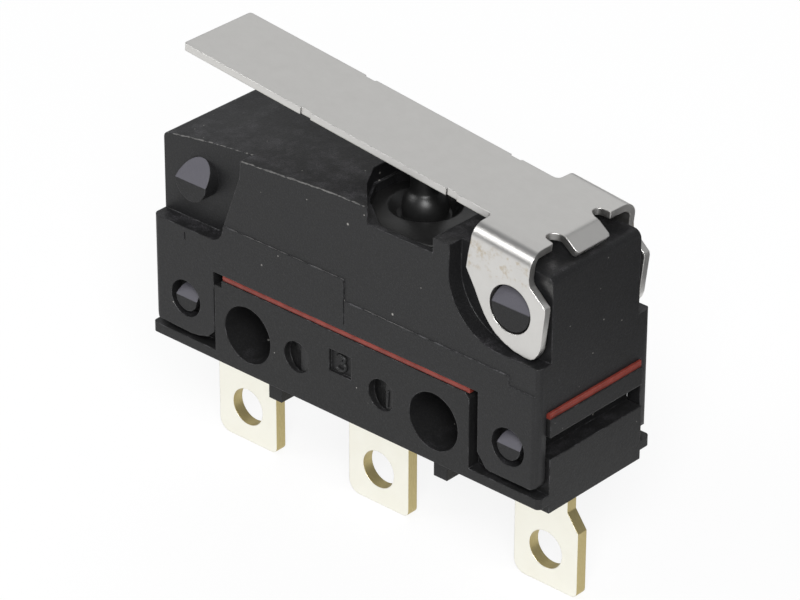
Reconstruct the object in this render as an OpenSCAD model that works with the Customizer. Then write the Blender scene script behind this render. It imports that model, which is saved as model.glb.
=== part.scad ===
// Sealed subminiature snap-action switch with a long hinge lever and three solder terminals.
// Millimetres. X along the body, the lever's hinge end at +X; Z up towards the lever.
// The origin is midway between the two mounting hole axes, on the body's middle plane.

/* [Body] */
// distance between the two mounting hole axes
hole_pitch = 9.5; // [8:0.1:12]
// radius of each mounting hole
hole_r = 1.2; // [0.8:0.05:1.4]
// thickness of the body, side face to side face
body_t = 6.4; // [5.6:0.1:8]
// length of the case, end face to end face
case_len = 19.5; // [18.8:0.1:22]
// height of the case's top above the hole axes, at the plunger
case_top = 7.75; // [7:0.05:9]
// drop of the case's top from the plunger to the end away from the hinge
top_fall = 0.95; // [0:0.05:1.4]
// radius of the case's upright corners
corner_r = 0.3; // [0.1:0.05:0.6]
// depth of the shallow step that frames the case's side panel
panel_step = 0.04; // [0.02:0.01:0.1]
// height of the top of the seal above the hole axes
seal_z = 2.13; // [1.8:0.01:2.6]
// thickness of the seal between case and base
seal_t = 0.26; // [0.15:0.01:0.4]

/* [Chamber] */
// thickness of the chamber's side walls
side_wall = 1.3; // [1.1:0.05:1.5]
// thickness of the chamber's end walls
end_wall = 0.65; // [0.4:0.05:1]
// thickness of the case's roof over the chamber, at the plunger
roof_t = 2.15; // [1.95:0.05:2.3]

/* [Lever seats] */
// distance of the hinge axis from the case's end
hinge_inset = 1.61; // [1.4:0.01:2]
// depth of the hinge axis below the case's top
hinge_drop = 1.81; // [1.6:0.01:2.1]
// depth of the side pocket that takes the lever's ear
pocket_depth = 0.73; // [0.5:0.01:0.85]
// radius of the stud that the lever turns on
stud_r = 0.9; // [0.6:0.01:1.1]
// radial clearance of the lever's eye on its stud
stud_fit = 0.08; // [0.03:0.01:0.1]
// radius of the spare stud at the other end
spare_stud_r = 0.8; // [0.6:0.01:0.9]
// distance of the spare stud from the case's end
spare_stud_inset = 2.07; // [1.8:0.01:2.3]
// depth of the spare stud below the case's top
spare_stud_drop = 1.95; // [1.7:0.01:2.3]

/* [Latch legs] */
// width of each leg at the hinge end
leg_w = 2.85; // [2.4:0.05:3.1]
// width of each leg at the other end
far_leg_w = 3.22; // [2.6:0.02:3.25]
// thickness of each leg
leg_t = 0.5; // [0.35:0.01:0.6]
// reach of the legs below the hole axes
leg_reach = 1; // [0.8:0.05:1.1]
// radius of the latch window in each leg
window_r = 0.78; // [0.6:0.01:0.9]
// distance of the latch windows from the outer edge of the leg
window_inset = 1.38; // [1.2:0.01:1.6]
// distance of the far latch windows from the outer edge of the leg
far_window_inset = 1.7; // [1.4:0.01:1.9]
// height of the latch windows above the hole axes
window_z = 0.38; // [0.2:0.01:0.6]
// clearance of the latch stud in its window
latch_gap = 0.1; // [0.05:0.01:0.2]

/* [Base] */
// reach of the base past each end of the case
base_proud = 0.15; // [0.05:0.01:0.3]
// distance of the base's end blocks inside the side faces
block_inset = 0.58; // [0.55:0.01:0.9]
// gap between the side panel and the leg of the hinge end
panel_gap = 0.42; // [0.1:0.01:0.5]
// gap between the side panel and the leg of the other end
far_panel_gap = 0.05; // [0.03:0.01:0.3]
// depth of the base's underside below the hole axes
base_drop = 2.1; // [1.9:0.05:2.6]
// depth of the flange's underside below the hole axes
flange_drop = 1.73; // [1.5:0.01:1.85]
// thickness of the flange
flange_t = 0.42; // [0.3:0.01:0.5]
// height of the groove across each end face
end_groove_h = 0.93; // [0.5:0.01:1.1]
// depth of the groove across each end face
end_groove_d = 0.7; // [0.3:0.05:0.9]
// distance of the stand-off feet from the middle
foot_x = 4.26; // [3.8:0.02:5]
// width of each stand-off foot
foot_w = 0.66; // [0.4:0.01:0.9]
// length of the stand-off feet across the body
foot_len = 0.95; // [0.6:0.01:1.2]
// reach of the feet below the base
foot_drop = 1; // [0.5:0.05:1.4]
// radius of the round mould marks
mark_r = 0.63; // [0.4:0.01:0.7]
// depth of the mould marks
mark_d = 0.14; // [0.05:0.01:0.3]

/* [Plunger] */
// distance of the plunger axis from the middle of the body
plunger_x = 1.46; // [1:0.02:2]
// radius of the plunger stem
plunger_r = 0.55; // [0.4:0.01:0.6]
// radial clearance of the stem in its guide
plunger_fit = 0.05; // [0.02:0.01:0.1]
// wall of the rubber boot over the plunger
boot_wall = 0.22; // [0.15:0.01:0.3]
// radius of the boot's seat in the case
boot_seat_r = 1.5; // [1.2:0.01:1.6]
// clearance of the boot in its seat
boot_fit = 0.05; // [0.02:0.01:0.1]
// depth of the recess in the case's top round the boot
recess_depth = 0.7; // [0.5:0.05:0.9]
// length of the recess from the plunger to the rib before the hinge
recess_run = 3.16; // [2.6:0.02:3.4]

// radius of the plunger's foot
plunger_foot_r = 0.5; // [0.4:0.01:0.55]
// radius of the collar that keeps the plunger in
collar_r = 1; // [0.8:0.05:1.2]
// height of the collar
collar_h = 0.3; // [0.2:0.01:0.4]

/* [Lever] */
// thickness of the lever's sheet
sheet_t = 0.3; // [0.2:0.01:0.4]
// width of the lever's arm
arm_w = 3.64; // [2.6:0.02:4]
// length of the arm from the hinge axis to the tip
arm_len = 17.74; // [12:0.02:22]
// height of the arm's upper face above the hinge axis
arm_rise = 2.545; // [2.4:0.005:2.7]
// slope of the arm at rest
arm_angle = 6.45; // [5:0.05:8]
// distance of the lever's ears inside the side faces
ear_inset = 0.25; // [0.15:0.01:0.3]
// length of the wide plate between the ears
plate_len = 2.85; // [2.4:0.01:3]
// reach of the wide plate past the hinge axis
plate_reach = 0.67; // [0.5:0.01:0.8]
// outer radius of the bends into the ears
bend_r = 0.55; // [0.4:0.01:0.8]
// radius of the ear round its eye
ear_r = 1.62; // [1.4:0.01:1.65]
// width of the end tab
tab_w = 1.82; // [1.4:0.02:2.2]
// length of the end tab past its bend
tab_len = 0.84; // [0.5:0.02:0.9]
// angle of the end tab below the arm
tab_angle = 31; // [20:1:40]
// width of the relief slots beside the tab
relief_w = 0.42; // [0.3:0.01:0.5]
// depth of the small carrier notches in the arm's edges
notch_d = 0.1; // [0.05:0.01:0.2]
// distance of the notches from the hinge axis, the near ones
near_notch = 4.38; // [4:0.02:6]
// distance of the notches from the hinge axis, the far ones
far_notch = 11.66; // [8:0.02:12]

/* [Terminals] */
// thickness of the terminals
term_t = 0.5; // [0.3:0.01:0.8]
// width of the terminals
term_w = 3.1; // [2.6:0.02:3.4]
// reach of the terminals below the hole axes
term_reach = 7.2; // [6:0.05:9]
// radius of the eye in each terminal
eye_r = 0.8; // [0.5:0.01:1]
// distance of the eye from the terminal's end
eye_inset = 1.55; // [1.3:0.01:2]
// distance of the common terminal's middle from the case's end
com_inset = 2.08; // [1.9:0.01:2.3]
// place of the normally open terminal along the body
no_x = -0.66; // [-0.9:0.01:-0.4]
// distance of the normally closed terminal's middle from the case's end
nc_inset = 1.92; // [1.8:0.01:2.1]
// width of the stems that carry the terminals up through the base
stem_w = 1.9; // [1.4:0.05:2.2]
// height of the shoulder at the top of each terminal's wide part
shoulder_h = 0.3; // [0.2:0.01:0.5]
// drop of the normally closed terminal's neck below the base
neck_drop = 1.52; // [1.2:0.01:2]
// height of the slant between the neck and the wide part
neck_slant = 0.74; // [0.5:0.01:0.9]
// width taken off the normally closed terminal at its neck
neck_cut = 0.54; // [0.4:0.01:0.6]
// width of the post that carries the upper contact
post_w = 0.53; // [0.4:0.01:0.6]
// fit of the terminals in their slots in the base
term_fit = 0.02; // [0.01:0.01:0.05]

/* [Contacts] */
// thickness of the spring blades
blade_t = 0.15; // [0.1:0.01:0.2]
// gap between the moving blade and the chamber's side walls
blade_side_gap = 0.6; // [0.4:0.05:0.9]
// distance of the contacts from the case's end
contact_inset = 2.95; // [2.7:0.01:3.3]
// radius of the contacts
contact_r = 0.6; // [0.4:0.01:0.7]
// gap between the open contacts
contact_gap = 0.5; // [0.4:0.01:0.6]
// height of the moving contact over both of its faces
contact_h = 0.75; // [0.6:0.01:0.8]
// height of the fixed contact under the moving one
no_contact_h = 0.4; // [0.3:0.01:0.45]
// height of the fixed contact over the moving one
nc_contact_h = 0.23; // [0.2:0.01:0.3]
// drop of the drive arm below the chamber's ceiling
drive_drop = 0.6; // [0.5:0.01:0.7]
// distance of the drive arm's pivot from the case's end
drive_inset = 2.95; // [2.8:0.01:3.2]
// distance of the blade's pivot from the middle terminal
blade_pivot = 1.44; // [1.3:0.01:1.6]
// thickness of the contact tabs inside the chamber
tab_t = 0.3; // [0.2:0.01:0.4]
// width of the contact tabs inside the chamber
strip_w = 1.6; // [1.2:0.05:2]
// width of the drive arm
drive_w = 1.6; // [1.2:0.05:2]
// width of the drive arm's root and of its tip
drive_end_w = 0.8; // [0.5:0.05:1]
// reach of the drive arm's tip past the plunger
drive_reach = 1.15; // [0.9:0.01:1.3]
// outer radius of the snap spring's coils
coil_r = 0.42; // [0.3:0.01:0.5]
// radius of the snap spring's wire
wire_r = 0.07; // [0.05:0.01:0.1]
// distance from the snap spring's far end to the contacts
spring_hold = 1.5; // [1.3:0.01:1.8]
// gap between the drive arm's tip and the snap spring
spring_gap = 0.14; // [0.1:0.01:0.2]

/* [Hidden] */
$fn = 48;
eps = 0.01;
half_t = body_t / 2;
half_case = case_len / 2;
half_base = half_case + base_proud;
block_half = half_t - block_inset;
chamber_half = half_t - side_wall;
ears_w = body_t - 2 * ear_inset;
blade_w = 2 * (chamber_half - blade_side_gap);
ceiling_z = case_top - roof_t;
hinge_x = half_case - hinge_inset;
hinge_z = case_top - hinge_drop;
spare_stud_z = case_top - spare_stud_drop;
spare_stud_x = half_case - spare_stud_inset;
panel_x0 = -half_case + far_leg_w + far_panel_gap;
panel_x1 = half_case - leg_w - panel_gap;
com_x = -half_case + com_inset;
nc_x = half_case - nc_inset;
contact_x = half_case - contact_inset;
seal_bottom = seal_z - seal_t;
pocket_y = half_t - pocket_depth;
chamber_half_len = half_case - end_wall;
recess_z = case_top - recess_depth;
boot_seat_z = ceiling_z + 0.55;
rib_x = plunger_x + recess_run;
eye_z = -term_reach + eye_inset;
neck_z = -base_drop - neck_drop;
nc_post_x = nc_x + term_w / 2 - neck_cut;
window_x = half_case - window_inset;
far_window_x = -half_case + far_window_inset;
groove_top = seal_bottom - 0.75;
// the switching parts stack up from the seal to the ceiling
no_tab_z = seal_bottom + 0.03;
no_face_z = no_tab_z + tab_t + no_contact_h;
blade_face_z = no_face_z + contact_gap;
blade_z = blade_face_z + (contact_h - blade_t) / 2;
nc_face_z = blade_face_z + contact_h + 0.02;
nc_tab_z = nc_face_z + nc_contact_h;
drive_z = ceiling_z - drive_drop;
drive_x = -half_case + drive_inset;
blade_x = no_x - blade_pivot;
foot_z = drive_z + blade_t / 2 + 0.02;

// --- helpers -------------------------------------------------------------

// points of an arc from one angle to another
function arc(cx, cy, r, a0, a1, n) = [for (i = [0 : n]) let (a = a0 + (a1 - a0) * i / n)
    [cx + r * cos(a), cy + r * sin(a)]];

// an outline drawn in X and Z, given a thickness from y0 to y1
module side_prism(y0, y1) {
    translate([0, y1, 0])
        rotate([90, 0, 0])
            linear_extrude(height = y1 - y0)
                children();
}

// a box from its two corners
module block(a, b) {
    translate(a)
        cube([b[0] - a[0], b[1] - a[1], b[2] - a[2]]);
}

// a cylinder along Y from y0 to y1
module cross_pin(x, z, r, y0, y1) {
    translate([x, y1, z])
        rotate([90, 0, 0])
            cylinder(h = y1 - y0, r = r);
}

// both sides of the body
module both_sides() {
    children();
    mirror([0, 1, 0])
        children();
}

// a rectangle with round corners
module round_rect(w, h, r) {
    square([w - 2 * r, h], center = true);
    square([w, h - 2 * r], center = true);
    for (sx = [-1, 1], sy = [-1, 1])
        translate([sx * (w / 2 - r), sy * (h / 2 - r)])
            circle(r = r);
}

// a stud on the front face with a ramp on its upper half, from root to tip along -Y
module ramp_stud(x, z, r, root_y, tip_y) {
    difference() {
        cross_pin(x, z, r, tip_y, root_y + 0.1);
        translate([x, 0, z])
            rotate([90, 0, 90])
                linear_extrude(height = 4 * r, center = true)
                    polygon([[root_y - 0.05, r + eps], [tip_y - eps, 0.05 * r], [tip_y - 1, 0.05 * r],
                        [tip_y - 1, 2 * r], [root_y - 0.05, 2 * r]]);
    }
}

// --- case ----------------------------------------------------------------

// the case's outline from the side, with its sloping top
module case_outline() {
    polygon(concat(
        [[-half_case, seal_z], [half_case, seal_z]],
        arc(half_case - 0.35, case_top - 0.5, 0.35, 0, 90, 6),
        [[rib_x, case_top - 0.08], [plunger_x, case_top], [-0.2, case_top - 0.02],
         [-0.25 * case_len, case_top - 0.36 * top_fall], [-0.37 * case_len, case_top - 0.62 * top_fall]],
        arc(-half_case + 0.25, case_top - top_fall - 0.25, 0.25, 90, 180, 5)));
}

// the outline of the pocket for an ear at the hinge end
module ear_pocket_outline() {
    polygon(concat(
        [[half_case + 1, case_top + 1], [hinge_x - 2.75, case_top + 1], [hinge_x - 2.72, hinge_z + 1.5]],
        arc(hinge_x - 0.3, hinge_z + 0.62, 2.46, 180, 270, 12),
        [[half_case + 1, hinge_z - 1.84]]));
}

// the outline of the pocket for an ear at the other end
module spare_pocket_outline() {
    polygon(concat(
        [[-half_case - 1, case_top + 1], [-spare_stud_x + 2.72, case_top + 1],
         [-spare_stud_x + 2.6, spare_stud_z + 0.9], [-spare_stud_x + 1.75, spare_stud_z - 1.4]],
        arc(-spare_stud_x + 1, spare_stud_z - 1.6, 0.7, 0, -90, 6),
        [[-half_case - 1, spare_stud_z - 2.3]]));
}

// the recess in the case's top that leaves the boot open to both sides
module recess_plan() {
    polygon([[rib_x, -half_t - 1], [rib_x, half_t + 1], [plunger_x, half_t + 1], [plunger_x, half_t],
        [plunger_x - 1.35, 1.75], [plunger_x - 2.05, 0.6], [plunger_x - 2.05, -0.6],
        [plunger_x - 1.35, -1.75], [plunger_x, -half_t], [plunger_x, -half_t - 1]]);
}

// the edge of the shallow side panel, above which the face steps back
module panel_cut_outline() {
    polygon([[panel_x0 + 0.18, case_top + 1], [panel_x0 + 0.18, 4.3], [0.25, 4.3], [0.25, 3.4],
        [half_case - 1.42, 3.36],
        [half_case - 1.42, 2.95], [half_case + 1, 2.95], [half_case + 1, case_top + 1]]);
}

// a leg of the hinge end, seen from the side
module leg_outline() {
    x0 = half_case - leg_w;
    polygon([[x0, seal_z + 1.2], [x0, -leg_reach + 0.6], [x0 + 0.42, -leg_reach + 0.05],
        [x0 + 0.6, -leg_reach], [half_case - 0.3, -leg_reach], [half_case - 0.08, -leg_reach + 0.1],
        [half_case, -leg_reach + 0.32],
        [half_case, seal_z + 1.2]]);
}

// a leg of the other end, seen from the side
module far_leg_outline() {
    x1 = -half_case + far_leg_w;
    polygon([[-half_case, seal_z + 1.2], [-half_case, -leg_reach + 0.4], [-half_case + 0.2, -leg_reach],
        [x1 - 1.25, -leg_reach - 0.06], [x1 - 0.85, -leg_reach], [x1 - 0.35, -leg_reach + 0.14],
        [x1, -leg_reach + 0.48], [x1, seal_z + 1.2]]);
}

module case_shell() {
    intersection() {
        union() {
            side_prism(-half_t, half_t)
                case_outline();
            both_sides() {
                side_prism(-half_t, -half_t + leg_t)
                    leg_outline();
                side_prism(-half_t, -half_t + leg_t)
                    far_leg_outline();
            }
        }
        translate([0, 0, -5])
            linear_extrude(height = 20)
                round_rect(case_len, body_t, corner_r);
    }
}

module case() {
    color("#2b2b2d")
    difference() {
        union() {
            difference() {
                case_shell();
                // ear pockets, both sides of both ends
                both_sides() {
                    side_prism(-half_t - 1, -pocket_y)
                        ear_pocket_outline();
                    side_prism(-half_t - 1, -pocket_y)
                        spare_pocket_outline();
                    side_prism(-half_t - 1, -half_t + panel_step)
                        panel_cut_outline();
                }
                // recess round the boot and the boot's seat
                translate([0, 0, recess_z])
                    linear_extrude(height = recess_depth + 1)
                        recess_plan();
                translate([plunger_x, 0, boot_seat_z])
                    cylinder(h = case_top, r = boot_seat_r);
            }
            both_sides() {
                ramp_stud(hinge_x, hinge_z, stud_r, -pocket_y, -half_t + 0.04);
                ramp_stud(-spare_stud_x, spare_stud_z, spare_stud_r, -pocket_y, -half_t);
            }
        }
        // contact chamber, open below
        block([-chamber_half_len, -chamber_half, seal_z - 1], [chamber_half_len, chamber_half, ceiling_z]);
        // guide of the plunger
        translate([plunger_x, 0, ceiling_z - 1])
            cylinder(h = 4, r = plunger_r + plunger_fit);
        // latch windows
        both_sides() {
            cross_pin(window_x, window_z, window_r, -half_t - 1, -half_t + leg_t + 0.05);
            cross_pin(far_window_x, window_z, window_r, -half_t - 1, -half_t + leg_t + 0.05);
        }
    }
}

// --- base ----------------------------------------------------------------

module base_body() {
    top = seal_bottom;
    // end blocks and the core between them
    block([-half_base, -block_half, -base_drop], [half_base, block_half, top]);
    // side panels between the legs
    both_sides()
        side_prism(-half_t, 0)
            polygon([[panel_x0, -flange_drop], [panel_x1, -flange_drop], [panel_x1, top - 0.22],
                [panel_x1 - 0.22, top], [panel_x0 + 0.38, top], [panel_x0 + 0.38, top - 0.3],
                [panel_x0, top - 0.3]]);
    // flange
    translate([0, 0, -flange_drop])
        linear_extrude(height = flange_t)
            round_rect(2 * half_base, body_t, 0.2);
    // stand-off feet
    both_sides()
        for (sx = [-1, 1])
            block([sx * foot_x - foot_w / 2, -half_t + 0.98, -base_drop - foot_drop],
                [sx * foot_x + foot_w / 2, -half_t + 0.98 + foot_len, 0]);
    // latch studs
    both_sides() {
        ramp_stud(window_x, window_z, window_r - latch_gap, -block_half, -half_t + 0.05);
        ramp_stud(far_window_x, window_z, window_r - latch_gap, -block_half, -half_t + 0.05);
    }
}

module base() {
    color("#262628")
    difference() {
        base_body();
        // mounting holes
        for (sx = [-1, 1])
            cross_pin(sx * hole_pitch / 2, 0, hole_r, -half_t - 1, half_t + 1);
        // grooves across the end faces
        for (sx = [-1, 1])
            scale([sx, 1, 1])
                block([half_base - end_groove_d, -half_t - 1, groove_top - end_groove_h],
                    [half_base + 1, half_t + 1, groove_top]);
        // mould marks on the front
        cross_pin(-2.18, 0.05, mark_r, -half_t - 1, -half_t + mark_d);
        cross_pin(2.15, 0.1, mark_r, -half_t - 1, -half_t + mark_d);
        block([-0.5, -half_t - 1, 0.14], [0.62, -half_t + mark_d, 1.1]);
        // slots that the terminals are fixed in
        side_prism(-term_t / 2 - term_fit, term_t / 2 + term_fit) {
            com_stem(term_fit);
            no_stem(term_fit);
            nc_stem(term_fit);
        }
    }
}

module seal_gasket() {
    color("#8f2f2a")
    translate([0, 0, seal_bottom])
        linear_extrude(height = seal_t)
            difference() {
                union() {
                    square([2 * (half_base - 0.06), 2 * block_half - 0.04], center = true);
                    translate([panel_x0 + 0.4, -half_t + 0.06])
                        square([panel_x1 - panel_x0 - 0.42, body_t - 0.12]);
                }
                square([2 * chamber_half_len, 2 * chamber_half], center = true);
            }
}

// --- plunger -------------------------------------------------------------

// height of the arm's underside above the hole axes at a place along the body, at rest
function arm_under(x) = hinge_z + (arm_rise - sheet_t) / cos(arm_angle) + tan(arm_angle) * (hinge_x - x);
boot_top = arm_under(plunger_x) - 0.06;
cap_r = plunger_r + 0.02 + boot_wall;

module plunger() {
    color("#d8d4c8")
    translate([plunger_x, 0, 0])
        rotate_extrude() {
            difference() {
                union() {
                    translate([0, boot_top - boot_wall - 0.02 - plunger_r])
                        circle(r = plunger_r);
                    translate([0, foot_z + plunger_foot_r])
                        circle(r = plunger_foot_r);
                    square_from([0, foot_z + plunger_foot_r], [plunger_foot_r, foot_z + plunger_foot_r + collar_h]);
                    square_from([0, ceiling_z - 0.05 - collar_h],
                        [plunger_r, boot_top - boot_wall - 0.02 - plunger_r]);
                    square_from([0, ceiling_z - 0.05 - collar_h], [collar_r, ceiling_z - 0.05]);
                }
                translate([-5, 0])
                    square([5, 20]);
            }
        }
}

// half section of the boot: seat ring, fold and cap
module boot_section() {
    z0 = boot_seat_z + 0.02;
    ro = boot_seat_r - boot_fit;
    difference() {
        union() {
            translate([0, z0])
                square([ro, 0.3]);
            translate([ro - 0.17, z0 + 0.3])
                circle(r = 0.17);
            square_from([0, z0 + 0.1], [cap_r, boot_top - cap_r]);
            translate([0, boot_top - cap_r])
                circle(r = cap_r);
        }
        // room for the plunger
        square_from([-5, z0 - 1], [plunger_r + 0.02, boot_top - boot_wall - plunger_r]);
        translate([0, boot_top - boot_wall - plunger_r])
            circle(r = plunger_r + 0.02);
        translate([-5, 0])
            square([5, 20]);
    }
}

module square_from(a, b) {
    translate(a)
        square([b[0] - a[0], b[1] - a[1]]);
}

module plunger_boot() {
    color("#151517")
    translate([plunger_x, 0, 0])
        rotate_extrude()
            boot_section();
}

// --- lever ---------------------------------------------------------------

// section across the wide plate and its two ears
module channel_section() {
    w = ears_w;
    difference() {
        union() {
            translate([-w / 2, -3])
                square([w, 3 + arm_rise - bend_r]);
            translate([-w / 2 + bend_r, arm_rise - bend_r - eps])
                square([w - 2 * bend_r, bend_r + eps]);
            for (s = [-1, 1])
                translate([s * (w / 2 - bend_r), arm_rise - bend_r])
                    circle(r = bend_r);
        }
        translate([-w / 2 + sheet_t, -4])
            square([w - 2 * sheet_t, 4 + arm_rise - bend_r]);
        translate([-w / 2 + bend_r, arm_rise - bend_r - eps])
            square([w - 2 * bend_r, bend_r - sheet_t + eps]);
        for (s = [-1, 1])
            translate([s * (w / 2 - bend_r), arm_rise - bend_r])
                circle(r = bend_r - sheet_t);
    }
}

// side outline of the ears and the wide plate, hinge axis at the origin
module ear_outline() {
    x0 = plate_reach - plate_len;
    x1 = plate_reach;
    difference() {
        polygon(concat(
            [[x0 + 0.12, arm_rise + 1], [x0 + 0.04, arm_rise - bend_r], [x0 - 0.04, arm_rise - 1.05],
             [x0, 0.75], [x0 + 0.12, 0.5]],
            arc(0, 0, ear_r, 181, 281, 14),
            [[1.32, -1.42], [1.5, -1.2], [1.56, -0.95], [1.58, 0.72], [1.5, 0.84], [x1 + 0.08, 1.36],
             [x1, 1.52], [x1, arm_rise + 1]]));
        circle(r = stud_r + stud_fit);
    }
}

// plan of the arm, its carrier notches and the root of the tab
module arm_plan() {
    x_root = plate_reach - plate_len;
    difference() {
        union() {
            translate([-arm_len, -arm_w / 2])
                square([arm_len + x_root + 0.3, arm_w]);
            translate([x_root, -tab_w / 2])
                square([plate_reach - x_root - 0.3, tab_w]);
        }
        for (x = [-far_notch, -near_notch], s = [-1, 1])
            translate([x, s * arm_w / 2 - notch_d])
                square([0.5, 2 * notch_d]);
    }
}

// plan of the cuts beside the tab and at the plate's shoulders
module relief_plan() {
    for (s = [-1, 1]) {
        translate([plate_reach - 0.5, s * (tab_w + relief_w) / 2])
            circle(r = relief_w / 2);
        translate([plate_reach - 0.5, s * (tab_w + relief_w) / 2 - relief_w / 2])
            square([2, relief_w]);
    }
    translate([plate_reach - 0.3, -tab_w / 2 - eps])
        square([2, tab_w + 2 * eps]);
}

module lever_flat() {
    difference() {
        union() {
            intersection() {
                rotate([90, 0, 90])
                    linear_extrude(height = 8, center = true)
                        channel_section();
                side_prism(-5, 5)
                    ear_outline();
            }
            translate([0, 0, arm_rise - sheet_t])
                linear_extrude(height = sheet_t)
                    arm_plan();
        }
        translate([0, 0, arm_rise - sheet_t - eps])
            linear_extrude(height = 1)
                relief_plan();
    }
    end_tab();
}

// the tab that bends down over the end of the case
module end_tab() {
    r_in = 0.25;
    x0 = plate_reach - 0.3;
    side_prism(-tab_w / 2, tab_w / 2) {
        translate([x0, arm_rise - sheet_t - r_in])
            difference() {
                intersection() {
                    circle(r = r_in + sheet_t);
                    polygon([[0, 0], [0, 2], [2 * tan(tab_angle), 2]]);
                }
                circle(r = r_in);
            }
        translate([x0 - 0.01, arm_rise - sheet_t])
            square([0.02, sheet_t]);
        translate([x0, arm_rise - sheet_t - r_in])
            rotate(-tab_angle)
                translate([-0.005, r_in])
                    square([tab_len, sheet_t]);
    }
}

module lever() {
    color("#bebcb7")
    translate([hinge_x, 0, hinge_z])
        rotate([0, arm_angle, 0])
            lever_flat();
}

// --- terminals -----------------------------------------------------------

// the part of a terminal below the base, with its eye
module term_blade(x, top) {
    w = term_w;
    z0 = -term_reach;
    difference() {
        polygon(concat([[x + w / 2, top], [x - w / 2, top]],
            arc(x - w / 2 + 0.55, z0 + 0.55, 0.55, 180, 270, 6),
            arc(x + w / 2 - 0.25, z0 + 0.25, 0.25, 270, 360, 4)));
        translate([x, eye_z])
            circle(r = eye_r);
    }
}

// the top of a terminal's wide part, let into the base
module shoulder(x, grow) {
    square_from([x - term_w / 2 - grow, -base_drop - 1],
        [x + term_w / 2 + grow, -base_drop + shoulder_h + grow]);
}

// the stems that pass up through the base; grow widens them for their slots
module com_stem(grow = 0) {
    square_from([com_x - stem_w / 2 - grow, -base_drop - 1], [com_x + stem_w / 2 + grow, seal_z + 1]);
    shoulder(com_x, grow);
}

module no_stem(grow = 0) {
    square_from([no_x - stem_w / 2 - grow, -base_drop - 1], [no_x + stem_w / 2 + grow, seal_z + 1]);
    shoulder(no_x, grow);
}

module nc_stem(grow = 0) {
    square_from([nc_post_x - stem_w + 0.27 - grow, -base_drop - 1],
        [nc_post_x + grow, seal_bottom - 0.4 + grow]);
    square_from([nc_post_x - post_w - grow, 0], [nc_post_x + grow, seal_z + 1]);
}

module com_terminal() {
    color("#ded9c4")
    difference() {
        side_prism(-term_t / 2, term_t / 2) {
            term_blade(com_x, -base_drop + shoulder_h);
            com_stem();
            // post with the notch that carries the drive arm
            square_from([com_x - stem_w / 2, seal_z], [drive_x, ceiling_z - 0.1]);
            // rail to the post with the notch that carries the moving blade
            square_from([drive_x - 0.5, no_tab_z], [blade_x + 0.2, no_tab_z + 0.4]);
            square_from([blade_x - 0.45, no_tab_z], [blade_x + 0.2, blade_z + 0.45]);
        }
        block([drive_x - 0.32, -1, drive_z - 0.2], [drive_x + 1, 1, drive_z + 0.2]);
        block([blade_x - 0.12, -1, blade_z + blade_t / 2 - 0.18],
            [blade_x + 1, 1, blade_z + blade_t / 2 + 0.18]);
    }
}

module no_terminal() {
    color("#ded9c4")
    union() {
        side_prism(-term_t / 2, term_t / 2) {
            term_blade(no_x, -base_drop + shoulder_h);
            square_from([no_x - stem_w / 2, -base_drop - 1], [no_x + stem_w / 2, no_tab_z + tab_t]);
            shoulder(no_x, 0);
        }
        block([no_x - stem_w / 2, -strip_w / 2, no_tab_z],
            [contact_x + contact_r + 0.15, strip_w / 2, no_tab_z + tab_t]);
    }
}

module nc_terminal() {
    color("#ded9c4")
    union() {
        side_prism(-term_t / 2, term_t / 2) {
            term_blade(nc_x, neck_z - neck_slant);
            polygon([[nc_x - term_w / 2, neck_z - neck_slant], [nc_x + term_w / 2, neck_z - neck_slant],
                [nc_post_x, neck_z], [nc_post_x, -base_drop], [nc_x - term_w / 2, -base_drop]]);
            square_from([nc_post_x - stem_w + 0.27, -base_drop - 0.1], [nc_post_x, seal_bottom - 0.4]);
            square_from([nc_post_x - post_w, 0], [nc_post_x, nc_tab_z + tab_t]);
        }
        block([contact_x - contact_r - 0.1, -strip_w / 2, nc_tab_z],
            [nc_post_x, strip_w / 2, nc_tab_z + tab_t]);
    }
}

// --- switching parts -----------------------------------------------------

// a contact rivet's head with a domed face
module contact_head(h) {
    cylinder(h = h - 0.08, r = contact_r);
    translate([0, 0, h - 0.08])
        cylinder(h = 0.08, r1 = contact_r, r2 = contact_r - 0.2);
}

module no_contact() {
    color("#d3d2cc")
    translate([contact_x, 0, no_tab_z + tab_t])
        contact_head(no_face_z - no_tab_z - tab_t);
}

module nc_contact() {
    color("#d3d2cc")
    translate([contact_x, 0, nc_tab_z])
        mirror([0, 0, 1])
            contact_head(nc_tab_z - nc_face_z);
}

module moving_contact() {
    color("#d3d2cc")
    translate([contact_x, 0, blade_z + blade_t / 2]) {
        cylinder(h = blade_t + 0.1, r = 0.3, center = true);
        translate([0, 0, blade_t / 2])
            contact_head((contact_h - blade_t) / 2);
        mirror([0, 0, 1])
            translate([0, 0, blade_t / 2])
                contact_head((contact_h - blade_t) / 2);
    }
}

module moving_blade() {
    color("#c9a25e")
    translate([0, 0, blade_z])
        linear_extrude(height = blade_t)
            difference() {
                union() {
                    translate([blade_x, -0.6])
                        square([1, 1.2]);
                    translate([blade_x + 0.5, -blade_w / 2])
                        square([contact_x - blade_x - 0.9, blade_w]);
                    translate([contact_x, 0])
                        circle(r = contact_r + 0.25);
                    translate([contact_x - 0.5, -contact_r - 0.25])
                        square([0.5, 2 * contact_r + 0.5]);
                }
                translate([blade_x + 1.6, -blade_w / 2 + 0.6])
                    square([4, blade_w - 1.2]);
                translate([contact_x, 0])
                    circle(r = 0.3);
            }
}

module drive_arm() {
    color("#c9a25e")
    translate([0, 0, drive_z - blade_t / 2])
        linear_extrude(height = blade_t) {
            square_from([drive_x - 0.25, -drive_end_w / 2], [drive_x + 0.75, drive_end_w / 2]);
            square_from([drive_x + 0.3, -drive_w / 2], [plunger_x + drive_w / 2, drive_w / 2]);
            square_from([plunger_x, -drive_end_w / 2], [plunger_x + drive_reach, drive_end_w / 2]);
        }
}

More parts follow.
